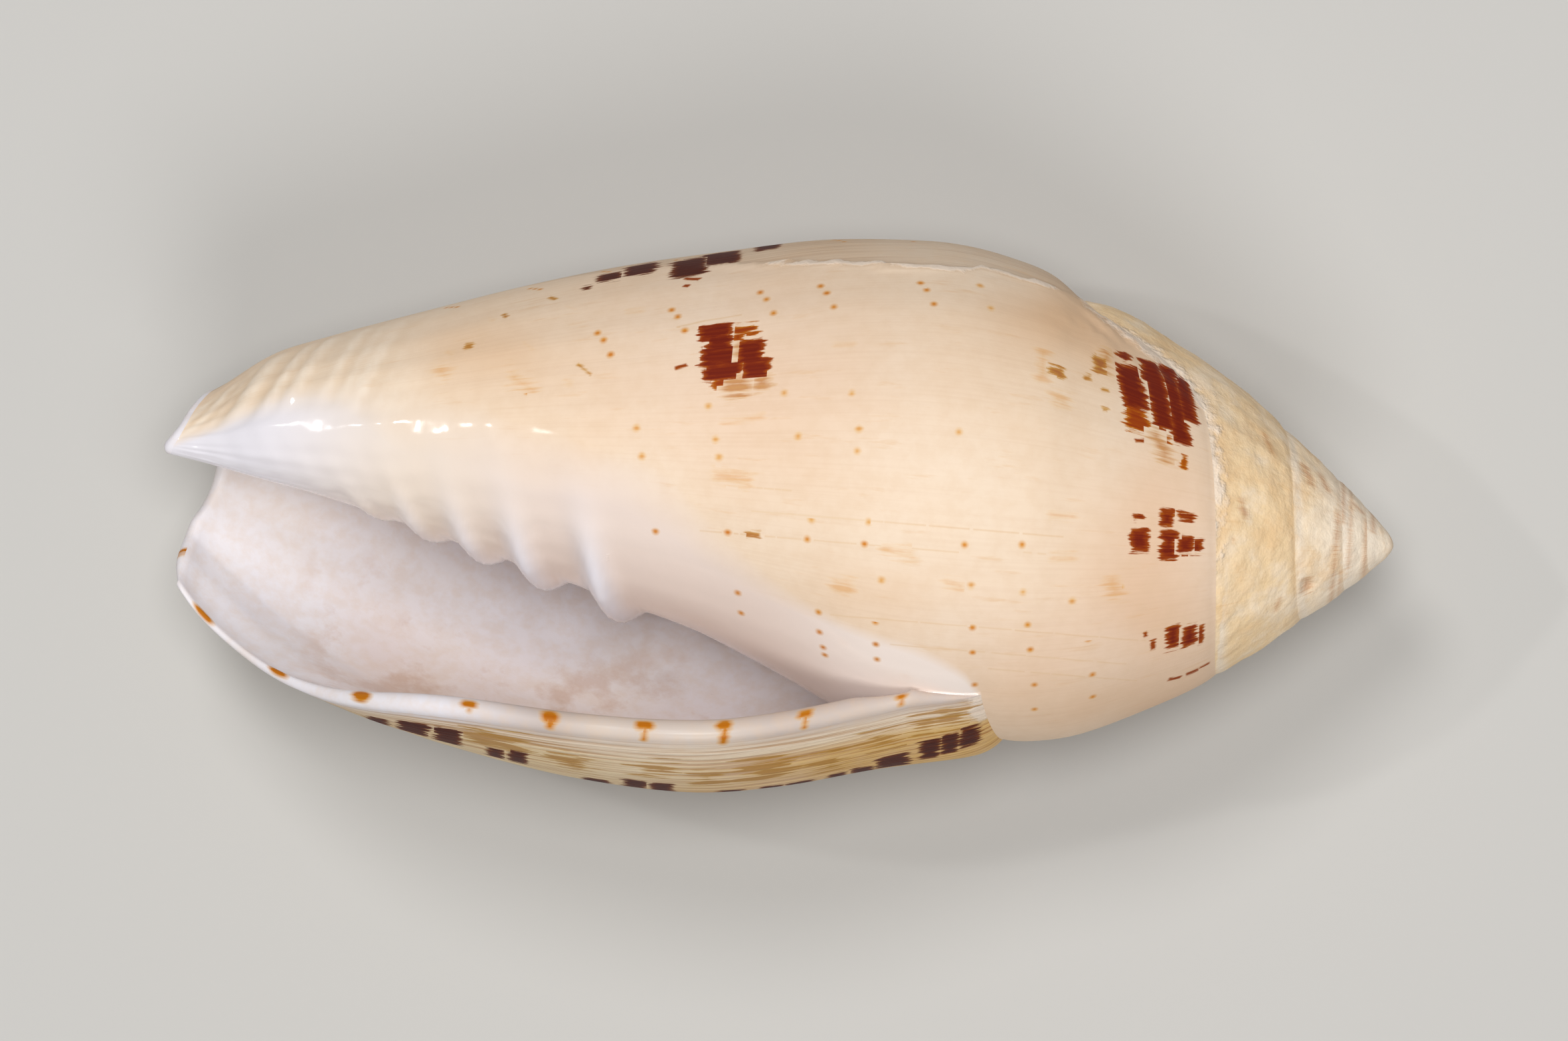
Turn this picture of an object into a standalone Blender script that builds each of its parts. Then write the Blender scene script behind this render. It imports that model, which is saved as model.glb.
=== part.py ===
"""A nut mitre sea shell, one grown piece, lying on its back with the aperture up.

The shell is a coiled sheet, and two numbers name each point of it: BACK, the degrees wound
back along the coil from the edge of the outer lip, and DOWN, the millimetres along the coil
axis from the apex. The functions below give a radius for each such point. Five plain grids
are bent to them: the last whorl, the spire, the hollow, the lip's edge and the front rim.
"""

import math

import bmesh
import bpy
from mathutils import Matrix, Vector

MM = 0.001
LENGTH = 50.0  # apex to the tip of the columella, mm
CORNER = 16.2  # where the outer lip leaves the last whorl, mm down
APERTURE_TOP = 19.0  # where the gap behind the lip opens, mm down
LIP_BEARING = 52.0  # the lip's bearing round the axis, from straight up, degrees
TIP_BACK = 400.0  # how far round the free edge of the columella lies, degrees back
CAVITY_END = 220.0  # how far round the hollow reaches, degrees back
CAVITY_RISE = 4.0  # how much nearer the apex the hollow's ceiling is at its deep end, mm
WHORL_RATIO = 1.93  # growth of the spire over one whorl
APEX_BACK = 1760.0  # where the earliest suture runs out at the apex, degrees back
GROOVE = 0.22  # depth of the suture above the last whorl, mm
REST_CUT = 0.3  # how deep the small flat spot on the back is worn, mm
ROLL = 0.0  # turn about the coil axis that brings the flat spot underneath, degrees
PITCH = 4.0  # turn about the sideways axis that does the same, degrees

STEP = 10  # degrees between two columns of a grid
SPIRE_ROWS = 6
CORNER_ROWS = 2  # rows between the lip's corner and the top of the aperture
EDGE_ROWS = 4  # rows across the rounded edges
# Rows below the top of the aperture: mm down at the columella, and rows up to there.
ROW_STOPS = ((29.0, 6), (42.5, 24), (50.0, 6))

# Radius against mm down. The spire is the same all round.
SPIRE = ((0.5, 0.77), (1, 1.27), (2, 2.18), (3, 3.0), (5, 4.62), (7, 6.1), (9, 7.25), (12, 8.68))
# The last whorl on four bearings, each half a turn further back than the one before.
LIP_SIDE = SPIRE + (
    (14, 9.35), (16, 9.9), (20, 10.75), (24, 11.8), (27.5, 12.3), (32, 12.1),
    (36, 11.47), (40, 10.5), (44, 9.0), (46, 7.95), (48, 6.5), (49.3, 5.1), (50, 4.3),
)
UPPER_SIDE = SPIRE + (
    (13.2, 9.2), (14.5, 9.85), (16, 10.3), (18, 10.7), (20, 10.78), (24, 10.45), (28, 9.6),
    (32, 8.65), (36, 7.45), (40, 6.02), (44, 4.5), (46, 3.6), (48, 1.95), (49, 1.3), (50, 0.7),
)
COLUMELLA = SPIRE + (
    (14, 9.15), (16, 9.28), (18, 9.2), (20, 8.9), (22, 8.3), (24.2, 7.25), (26.3, 6.3), (28, 5.6),
    (30.8, 4.78), (32.7, 4.22), (35.6, 3.42), (37.8, 2.85), (40.2, 2.2), (44, 1.3), (50, 0.35),
)
HIDDEN_SIDE = SPIRE + (
    (14, 9.0), (16, 8.7), (18, 8.1), (20, 7.2), (24, 4.9), (28, 3.0), (35, 1.9), (45, 0.9), (50, 0.3),
)
# Suture of the last whorl, mm down against degrees back. It drops where an old break healed.
SUTURE = (
    (0, CORNER), (40, 15.1), (130, 14.4), (220, 13.6), (236, 12.5), (245, 10.2), (254, 8.7),
    (275, 7.85), (323, 7.2), (TIP_BACK, 6.7),
)
# How far the lip's edge swings round from LIP_BEARING, degrees against mm down.
LIP_SWING = (
    (APERTURE_TOP, 0), (24, 1), (30, 3), (36, 6.5), (40, 12), (42.5, 21), (45, 31), (47, 40), (50, 52),
)
# The front rim with its siphonal notch, mm down against degrees back.
FRONT_RIM = (
    (0, 48.95), (20, 48.85), (50, 48.45), (65, 48.0), (80, 47.65), (100, 47.5), (125, 47.6),
    (150, 47.85), (180, 48.3), (220, 48.9), (300, 49.5), (TIP_BACK, 49.7),
)
WALL = ((16, 1.05), (30, 1.05), (38, 0.95), (44, 0.85), (48, 0.7), (50, 0.6))  # mm thick against mm down
# Folds round the columella: mm down where each crosses the free edge, height, half-width.
FOLDS = ((30.8, 0.8, 0.72), (33.9, 0.65, 0.66), (36.3, 0.48, 0.55), (38.5, 0.36, 0.5), (40.5, 0.2, 0.45))
FOLD_CLIMB = 0.026  # mm that a fold climbs towards the apex for each degree back


def curve_through(points):
    """A smooth function through the points, which goes on straight past both ends."""
    xs = [point[0] for point in points]
    ys = [point[1] for point in points]
    last = len(points) - 1
    slopes = []
    for i in range(last + 1):
        before, after = max(i - 1, 0), min(i + 1, last)
        slopes.append((ys[after] - ys[before]) / (xs[after] - xs[before]))

    def height(x):
        if x <= xs[0]:
            return ys[0] + slopes[0] * (x - xs[0])
        if x >= xs[last]:
            return ys[last] + slopes[last] * (x - xs[last])
        i = max(k for k in range(last) if xs[k] <= x)
        width = xs[i + 1] - xs[i]
        t = (x - xs[i]) / width
        between = ys[i] + (ys[i + 1] - ys[i]) * t * t * (3 - 2 * t)
        return between + width * t * (1 - t) * (slopes[i] * (1 - t) - slopes[i + 1] * t)

    return height


def ease(t):
    """0 below 0, 1 above 1, and a soft climb between."""
    t = min(max(t, 0.0), 1.0)
    return t * t * (3 - 2 * t)


def quarter_round(t):
    """A quarter circle that climbs from 0 at t = 0 to 1 at t = 1."""
    t = min(max(t, 0.0), 1.0)
    return math.sqrt(1 - (1 - t) ** 2)


side_radii = [curve_through(side) for side in (LIP_SIDE, UPPER_SIDE, COLUMELLA, HIDDEN_SIDE)]
last_suture = curve_through(SUTURE)
lip_swing = curve_through(LIP_SWING)
rim_curve = curve_through(FRONT_RIM)
wall = curve_through(WALL)


def suture(back):
    """Mm down of the suture above the whorl at this bearing."""
    if back <= TIP_BACK:
        return last_suture(back)
    spiral = last_suture(TIP_BACK) * WHORL_RATIO ** ((TIP_BACK - back) / 360)
    return spiral * (1 - ease((back - APEX_BACK) / 360 + 1))


def groove(back):
    return min(GROOVE, 0.035 * suture(back))


def whorl_radius(back, down):
    """Radius with no sutures or folds: the four sides blended along the coil."""
    tip = SPIRE[0][0]
    radii = [side(max(down, tip)) for side in side_radii]
    blunt = (min(max(down, 0), tip) / tip) ** 0.6
    half_turns = (back - 40) / 180
    if half_turns <= 0:
        return blunt * (radii[0] + 0.4 * half_turns * (radii[1] - radii[0]))
    if half_turns >= 3:
        return blunt * radii[3]
    return blunt * curve_through(list(enumerate(radii)))(half_turns)


def folds(back, down):
    """Height of the columella's folds, which climb towards the apex as they wind inwards."""
    climb = FOLD_CLIMB * (back - TIP_BACK)
    heights = (
        height * math.exp(-(((down - middle + climb) / width) ** 2)) for middle, height, width in FOLDS
    )
    return sum(heights) * ease((back - 305) / 85) * ease((600 - back) / 100)


def radius(back, down):
    """Radius of the outer face of the coiled sheet."""
    below = max(down - suture(back), 0.0)
    full = whorl_radius(back, down) + folds(back, down)
    own_groove = groove(back) * math.exp(-below / 0.3)
    if back < 360:
        older = whorl_radius(back + 360, down)
        rise = 0.7 + 1.8 * (1 - ease(back / 40))
        full -= (full - older) * math.exp(-below / rise)
        share = 0.0
        started = ease((back - 335) / 25)
    else:
        share = min(below / (suture(back - 360) - suture(back) + 1e-9), 1.0)
        started = share
    next_suture = suture(max(back - 360, 0))
    next_groove = groove(max(back - 360, 0)) * math.exp(-abs(next_suture - down) / 0.6)
    return full - own_groove * (1 - share) - next_groove * started


def place(back, down, r):
    """The point at this bearing, mm down and radius, with the apex at the origin."""
    swing = 0.0
    if down > APERTURE_TOP and back < CAVITY_END:
        swing = lip_swing(down) * (1 - back / CAVITY_END)
    bearing = math.radians(LIP_BEARING + back + swing)
    return Vector((-down, -r * math.sin(bearing), r * math.cos(bearing)))


def front_rim(back):
    """Mm down of the front rim. Past the free edge it returns on the columella's inner face."""
    return rim_curve(back if back <= TIP_BACK else 2 * TIP_BACK - back)


def row_share(row):
    """How far row lies from the top of the aperture, 0, to the front rim, 1."""
    start = APERTURE_TOP
    for stop, rows in ROW_STOPS:
        if row <= rows:
            return (start + (stop - start) * row / rows - APERTURE_TOP) / (LENGTH - APERTURE_TOP)
        start = stop
        row -= rows
    return 1.0


APERTURE_ROWS = sum(rows for _, rows in ROW_STOPS)
WHORL_ROWS = SPIRE_ROWS + CORNER_ROWS + APERTURE_ROWS


def whorl_point(back, row):
    """Last whorl: rows between the suture and the lip's corner, then on to the front rim."""
    if row <= SPIRE_ROWS:
        down = suture(back) + (CORNER - suture(back)) * row / SPIRE_ROWS
    elif row <= SPIRE_ROWS + CORNER_ROWS:
        down = CORNER + (APERTURE_TOP - CORNER) * (row - SPIRE_ROWS) / CORNER_ROWS
    else:
        share = row_share(row - SPIRE_ROWS - CORNER_ROWS)
        down = APERTURE_TOP + (front_rim(back) - APERTURE_TOP) * share
    return place(back, down, radius(back, down))


def spire_point(back, row):
    """Spire: rows between one suture and the next."""
    down = suture(back) + (suture(back - 360) - suture(back)) * row / SPIRE_ROWS
    return place(back, down, radius(back, down))


def hollow_point(back, row, inward):
    """Hollow: its inward side is the columella's face, and its other side the wall's inner face."""
    ceiling = APERTURE_TOP - CAVITY_RISE * back / CAVITY_END
    bearing = back + 360 if inward else back
    down = ceiling + (front_rim(bearing) - ceiling) * row_share(row)
    near = radius(back + 360, down)
    room = radius(back, down) - near
    gap = room - min(wall(down), 0.55 * room)
    far = near + gap * quarter_round((down - ceiling) / 2.5)
    middle = (near + far) / 2
    opening = quarter_round((CAVITY_END - back) / 50)
    side = near if inward else far
    return place(bearing, down, middle + (side - middle) * opening)


def rounded_edge(outer, inner, outwards, step):
    """A point on the round edge that closes the outer face onto the inner one."""
    turn = math.pi * step / EDGE_ROWS
    bulge = min(0.5 * (outer - inner).length, 0.45)
    return outer.lerp(inner, (1 - math.cos(turn)) / 2) + outwards * bulge * math.sin(turn)


def lip_edge_point(row, step):
    """The lip's edge, from the outer face to the wall's inner face or to the last whorl."""
    outer = whorl_point(0, row)
    if row <= SPIRE_ROWS + CORNER_ROWS:
        inner = whorl_point(360, row)
    else:
        inner = hollow_point(0, row - SPIRE_ROWS - CORNER_ROWS, False)
    onwards = (outer - whorl_point(2, row)).normalized()
    forwards = Vector((-1, 0, 0)) * 0.7 * ease((row - WHORL_ROWS + 5) / 5)
    return rounded_edge(outer, inner, (onwards + forwards).normalized(), step)


def front_rim_point(back, step):
    """The front rim: the wall's edge, then the blunt tip of the columella."""
    outer = whorl_point(back, WHORL_ROWS) if back <= 360 else hollow_point(back - 360, APERTURE_ROWS, True)
    if back <= CAVITY_END:
        inner = hollow_point(back, APERTURE_ROWS, False)
    else:
        inner = hollow_point(2 * TIP_BACK - back - 360, APERTURE_ROWS, True)
    onwards = (whorl_point(0, WHORL_ROWS) - whorl_point(2, WHORL_ROWS)).normalized()
    forwards = Vector((-1, 0, 0))
    corner = 1 - ease(back / 20)
    outwards = (forwards * (1 - 0.3 * corner) + onwards * corner).normalized()
    return rounded_edge(outer, inner, outwards, step)


def bend_grid(bm, columns, rows, point):
    """Adds a plain grid and moves the vertex at each column and row to point(column, row)."""
    grid = bmesh.ops.create_grid(bm, x_segments=columns, y_segments=rows, size=1)
    for vert in grid["verts"]:
        column = round((vert.co.x + 1) / 2 * columns)
        row = round((vert.co.y + 1) / 2 * rows)
        vert.co = point(column, row)


def grow_shell(bm):
    """All the grids, joined along their shared borders into one closed sheet, in mm."""
    turn = 360 // STEP
    reach = int(CAVITY_END) // STEP

    def hollow_column(column, row):
        if column <= reach:
            return hollow_point(column * STEP, row, True)
        return hollow_point((2 * reach - column) * STEP, row, False)

    bend_grid(bm, turn, WHORL_ROWS, lambda column, row: whorl_point(column * STEP, row))
    spire_columns = int(APEX_BACK) // STEP
    bend_grid(bm, spire_columns, SPIRE_ROWS, lambda column, row: spire_point(360 + column * STEP, row))
    bend_grid(bm, 2 * reach, APERTURE_ROWS, hollow_column)
    lip_rows = WHORL_ROWS - SPIRE_ROWS
    bend_grid(bm, lip_rows, EDGE_ROWS, lambda column, row: lip_edge_point(SPIRE_ROWS + column, row))
    bend_grid(bm, int(TIP_BACK) // STEP, EDGE_ROWS, lambda column, row: front_rim_point(column * STEP, row))
    bmesh.ops.remove_doubles(bm, verts=bm.verts, dist=0.001)
    bmesh.ops.recalc_face_normals(bm, faces=bm.faces)


def wear_rest_spot(bm):
    """Cuts the lowest part of the back off flat and closes the cut."""
    lowest = min(vert.co.z for vert in bm.verts)
    geometry = bm.verts[:] + bm.edges[:] + bm.faces[:]
    cut = bmesh.ops.bisect_plane(
        bm, geom=geometry, plane_co=(0, 0, lowest + REST_CUT), plane_no=(0, 0, -1), clear_outer=True
    )
    edges = [item for item in cut["geom_cut"] if isinstance(item, bmesh.types.BMEdge)]
    bmesh.ops.edgeloop_fill(bm, edges=edges)
    bmesh.ops.recalc_face_normals(bm, faces=bm.faces)


def stand_on_origin(bm):
    """Moves the shell so that the middle of the underside of its box is the origin."""
    lows = [min(vert.co[axis] for vert in bm.verts) for axis in range(3)]
    highs = [max(vert.co[axis] for vert in bm.verts) for axis in range(3)]
    middle = Vector(((lows[0] + highs[0]) / 2, (lows[1] + highs[1]) / 2, lows[2]))
    bmesh.ops.translate(bm, verts=bm.verts, vec=-middle)


def shell_material():
    material = bpy.data.materials.new("shell")
    material.use_nodes = True
    surface = material.node_tree.nodes["Principled BSDF"]
    surface.inputs["Base Color"].default_value = (0.871, 0.672, 0.503, 1)
    surface.inputs["Roughness"].default_value = 0.35
    surface.inputs["Metallic"].default_value = 0.0
    return material


def main():
    for old in list(bpy.data.objects):
        bpy.data.objects.remove(old)
    collection = bpy.data.collections.new("nut mitre shell")
    bpy.context.scene.collection.children.link(collection)

    bm = bmesh.new()
    grow_shell(bm)
    lay_down = Matrix.Rotation(math.radians(ROLL), 3, "X") @ Matrix.Rotation(math.radians(PITCH), 3, "Y")
    bmesh.ops.rotate(bm, verts=bm.verts, cent=(0, 0, 0), matrix=lay_down)
    wear_rest_spot(bm)
    stand_on_origin(bm)
    bmesh.ops.scale(bm, verts=bm.verts, vec=(MM, MM, MM))
    mesh = bpy.data.meshes.new("shell")
    bm.to_mesh(mesh)
    bm.free()
    mesh.shade_smooth()
    mesh.materials.append(shell_material())
    collection.objects.link(bpy.data.objects.new("shell", mesh))


main()
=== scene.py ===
"""The looks of a nut mitre sea shell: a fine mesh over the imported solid, its colours and a studio.

Two numbers name each point of the coiled sheet: BACK, the degrees wound back along the coil
from the edge of the outer lip, and DOWN, the millimetres along the coil axis from the apex.
On the side that the aperture faces, ACROSS is the distance from the coil axis, + to the lip.
"""

import math
from functools import partial

import bmesh
import bpy
import numpy as np
from mathutils import Matrix, Vector


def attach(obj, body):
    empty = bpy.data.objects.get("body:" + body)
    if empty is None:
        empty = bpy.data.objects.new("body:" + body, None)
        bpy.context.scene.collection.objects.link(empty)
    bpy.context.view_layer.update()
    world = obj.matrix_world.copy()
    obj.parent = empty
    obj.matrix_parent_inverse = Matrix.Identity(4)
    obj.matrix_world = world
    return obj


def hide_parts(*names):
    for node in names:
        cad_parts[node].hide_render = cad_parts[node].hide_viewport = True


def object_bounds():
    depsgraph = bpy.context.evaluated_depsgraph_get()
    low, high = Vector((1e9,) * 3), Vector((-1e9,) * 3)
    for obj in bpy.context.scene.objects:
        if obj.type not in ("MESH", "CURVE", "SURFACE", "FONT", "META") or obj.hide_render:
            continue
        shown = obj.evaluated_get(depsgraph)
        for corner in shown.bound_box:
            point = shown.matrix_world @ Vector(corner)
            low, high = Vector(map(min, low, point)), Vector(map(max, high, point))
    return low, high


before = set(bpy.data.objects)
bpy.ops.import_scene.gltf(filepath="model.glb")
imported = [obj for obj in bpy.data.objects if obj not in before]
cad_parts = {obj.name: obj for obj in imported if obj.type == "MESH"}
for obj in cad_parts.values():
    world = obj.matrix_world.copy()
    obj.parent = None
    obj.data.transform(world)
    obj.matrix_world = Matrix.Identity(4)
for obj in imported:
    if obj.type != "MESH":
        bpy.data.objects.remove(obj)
cad_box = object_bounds()

MM = 0.001
LENGTH = 50.0  # apex to the tip of the columella, mm
CORNER = 16.2  # where the outer lip leaves the last whorl, mm down
APERTURE_TOP = 19.0  # where the gap behind the lip opens, mm down
LIP_BEARING = 52.0  # the lip's bearing round the axis, from straight up, degrees
TIP_BACK = 400.0  # how far round the free edge of the columella lies, degrees back
CAVITY_END = 220.0  # how far round the hollow reaches, degrees back
CAVITY_RISE = 4.0  # how much nearer the apex the hollow's ceiling is at its deep end, mm
WHORL_RATIO = 1.93  # growth of the spire over one whorl
APEX_BACK = 1760.0  # where the earliest suture runs out at the apex, degrees back
GROOVE = 0.12  # depth of the suture above the last whorl, mm
REST_CUT = 0.3  # how deep the small flat spot on the back is worn, mm
PITCH = 4.0  # turn about the sideways axis that brings the flat spot underneath, degrees

STEP = 5 / 3  # degrees between two columns
SPIRE_ROWS = 24
CORNER_ROWS = 8  # rows between the lip's corner and the top of the aperture
APERTURE_ROWS = 124
WHORL_ROWS = SPIRE_ROWS + CORNER_ROWS + APERTURE_ROWS
EDGE_ROWS = 10  # rows across the rounded edges

# Radius against mm down. The spire is the same all round.
SPIRE = ((0.5, 0.77), (1, 1.27), (2, 2.18), (3, 3.0), (5, 4.62), (7, 6.1), (9, 7.25), (12, 8.68))
# The last whorl on four bearings, each half a turn further back than the one before.
LIP_SIDE = SPIRE + (
    (14, 9.35), (16, 9.9), (20, 10.75), (24, 11.8), (27.5, 12.3), (32, 12.1),
    (36, 11.47), (40, 10.5), (44, 9.05), (46, 8.07), (48, 6.75), (49.3, 5.4), (50, 4.55),
)
UPPER_SIDE = SPIRE + (
    (13.2, 9.2), (14.5, 9.85), (16, 10.3), (18, 10.7), (20, 10.78), (24, 10.45), (28, 9.6),
    (32, 8.65), (36, 7.45), (40, 6.02), (44, 4.5), (46, 3.6), (48, 1.95), (49, 1.3), (50, 0.7),
)
COLUMELLA = SPIRE + (
    (14, 9.15), (16, 9.28), (18, 9.2), (20, 8.9), (22, 8.3), (24.2, 7.25), (26.3, 6.3), (28, 5.6),
    (30.8, 4.78), (32.7, 4.22), (35.6, 3.42), (37.8, 2.85), (40.2, 2.2), (44, 1.3), (50, 0.35),
)
HIDDEN_SIDE = SPIRE + (
    (14, 9.0), (16, 8.7), (18, 8.1), (20, 7.2), (24, 4.9), (28, 3.0), (35, 1.9), (45, 0.9), (50, 0.3),
)
# Suture of the last whorl, mm down against degrees back. It drops where an old break healed.
SUTURE = (
    (0, CORNER), (40, 15.1), (130, 14.4), (220, 13.6), (236, 12.5), (245, 10.2), (254, 8.7),
    (275, 7.85), (323, 7.2), (TIP_BACK, 6.7),
)
# How far the lip's edge swings round from LIP_BEARING, degrees against mm down.
LIP_SWING = (
    (APERTURE_TOP, 0), (20.5, 1.3), (24, 2.2), (30, 4), (36, 7.2), (39, 12), (41, 19), (43, 29), (45, 39),
    (47, 50), (50, 64),
)
# The front rim with its siphonal notch, mm down against degrees back.
FRONT_RIM = (
    (0, 48.95), (20, 48.85), (50, 48.45), (65, 48.0), (80, 47.65), (100, 47.5), (125, 47.6),
    (150, 47.85), (180, 48.3), (220, 48.9), (300, 49.5), (TIP_BACK, 49.7),
)
WALL = ((16, 1.05), (30, 1.05), (38, 0.95), (44, 0.85), (48, 0.7), (50, 0.6))  # mm thick against mm down
# Folds round the columella: mm down where each crosses the free edge, height, half-width.
FOLDS = ((30.8, 0.8, 0.72), (33.9, 0.65, 0.66), (36.3, 0.48, 0.55), (38.5, 0.36, 0.5), (40.5, 0.2, 0.45))
FOLD_CLIMB = 0.026  # mm that a fold climbs towards the apex for each degree back
LIP_ARC = 8.0  # degrees that the round of the lip's edge is counted as
# Small pits in the spire: mm down, mm across, radius and depth.
PITS = ((3.42, 1.95, 0.27, 0.17), (6.6, 0.3, 0.12, 0.1))
# The healed edge of an old break, degrees back against mm down.
BREAK_LINE = (
    (13.5, 236), (15.5, 239), (17.2, 238.5), (18.5, 242), (21, 242), (25.3, 237), (28, 232), (32, 222),
)


def curve_through(points):
    """A smooth function through the points, which goes on straight past both ends."""
    xs, ys = np.array(points, float).T
    last = len(xs) - 1
    before = np.maximum(np.arange(last + 1) - 1, 0)
    after = np.minimum(np.arange(last + 1) + 1, last)
    slopes = (ys[after] - ys[before]) / (xs[after] - xs[before])

    def height(x):
        x = np.asarray(x, float)
        i = np.clip(np.searchsorted(xs, x, side="right") - 1, 0, last - 1)
        width = xs[i + 1] - xs[i]
        t = np.clip((x - xs[i]) / width, 0, 1)
        between = ys[i] + (ys[i + 1] - ys[i]) * t * t * (3 - 2 * t)
        between += width * t * (1 - t) * (slopes[i] * (1 - t) - slopes[i + 1] * t)
        return between + slopes[0] * np.minimum(x - xs[0], 0) + slopes[last] * np.maximum(x - xs[last], 0)

    return height


def ease(t):
    """0 below 0, 1 above 1, and a soft climb between."""
    t = np.clip(t, 0, 1)
    return t * t * (3 - 2 * t)


def quarter_round(t):
    """A quarter circle that climbs from 0 at t = 0 to 1 at t = 1."""
    return np.sqrt(1 - (1 - np.clip(t, 0, 1)) ** 2)


def bell(x, width):
    return np.exp(-((x / width) ** 2))


def unit(vectors):
    return vectors / np.linalg.norm(vectors, axis=-1, keepdims=True)


side_radii = [curve_through(side) for side in (LIP_SIDE, UPPER_SIDE, COLUMELLA, HIDDEN_SIDE)]
last_suture = curve_through(SUTURE)
lip_swing = curve_through(LIP_SWING)
rim_curve = curve_through(FRONT_RIM)
wall = curve_through(WALL)
break_line = curve_through(BREAK_LINE)


def ripple(x, wavelength, seed):
    """Uneven waves of about this wavelength and height 1, the same each time for one seed."""
    draw = np.random.default_rng(seed)
    total = 0
    for stretch in (0.62, 0.81, 1.0, 1.37, 1.9):
        total = total + np.sin(2 * math.pi * x / (wavelength * stretch) + draw.uniform(0, 2 * math.pi))
    return total / 3


def suture(back):
    """Mm down of the suture above the whorl at this bearing."""
    spiral = last_suture(TIP_BACK) * WHORL_RATIO ** ((TIP_BACK - back) / 360)
    spiral = spiral * (1 - ease((back - APEX_BACK) / 360 + 1))
    return np.where(back <= TIP_BACK, last_suture(np.minimum(back, TIP_BACK)), spiral)


def groove(back):
    return np.minimum(GROOVE, 0.035 * suture(back))


def whorl_radius(back, down):
    """Radius with no sutures or folds: the four sides blended along the coil."""
    tip = SPIRE[0][0]
    radii = np.array([side(np.maximum(down, tip)) for side in side_radii])
    slopes = np.gradient(radii, axis=0)
    blunt = (np.clip(down, 0, tip) / tip) ** 0.6
    half_turns = np.clip((back - 40) / 180, 0, 3)
    i = np.clip(half_turns.astype(int), 0, 2)

    def pick(table, index):
        return np.take_along_axis(table, index[None], 0)[0]

    low, high = pick(radii, i), pick(radii, i + 1)
    t = half_turns - i
    between = low + (high - low) * t * t * (3 - 2 * t)
    between += t * (1 - t) * (pick(slopes, i) * (1 - t) - pick(slopes, i + 1) * t)
    before_lip_side = 0.4 * np.minimum((back - 40) / 180, 0) * (radii[1] - radii[0])
    return blunt * (between + before_lip_side)


def folds(back, down):
    """Height of the columella's folds, which climb towards the apex as they wind inwards."""
    climb = FOLD_CLIMB * (back - TIP_BACK)
    on_face = ease((back - 318) / 25) * ease((410 - back) / 40)
    heights = 0
    for middle, height, width in FOLDS:
        heights = heights + height * bell(down - middle + climb, width * (1 - 0.2 * on_face))
    rise = ease((back - 303) / 82) * (1 + 0.35 * on_face) + 0.06 * ease((back - 280) / 15)
    return heights * np.minimum(rise, 1.12) * ease((600 - back) / 100)


def radius(back, down):
    """Radius of the outer face of the coiled sheet."""
    back, down = np.broadcast_arrays(np.asarray(back, float), np.asarray(down, float))
    below = np.maximum(down - suture(back), 0)
    full = whorl_radius(back, down) + folds(back, down)
    own_groove = groove(back) * np.exp(-below / 0.3)
    older = whorl_radius(back + 360, down)
    rise = 0.4 + 1.5 * (1 - ease(back / 40))
    last = back < 360
    full = np.where(last, full - (full - older) * np.exp(-below / rise), full)
    next_back = np.maximum(back - 360, 0)
    next_suture = suture(next_back)
    share = np.where(last, 0, np.minimum(below / (next_suture - suture(back) + 1e-9), 1))
    started = np.where(last, ease((back - 335) / 25), share)
    next_groove = groove(next_back) * np.exp(-abs(next_suture - down) / 0.6)
    return full - own_groove * (1 - share) - next_groove * started


def lumps(places, size, seed):
    """Uneven lumps of about this size in mm and height 1, the same each time for one seed."""
    draw = np.random.default_rng(seed)
    total = 0
    for _ in range(9):
        towards = unit(draw.normal(size=3))
        wide = size * draw.uniform(0.6, 1.6)
        start = draw.uniform(0, 6.3)
        total = total + np.sin(places @ towards * math.pi / wide + start)
    return total / 3


def notch_waves(back, down):
    """The ridges that old siphonal notches left, as uneven waves of height 1."""
    return ripple(down - 0.03 * (back - 240), 1.25, 4)


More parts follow.
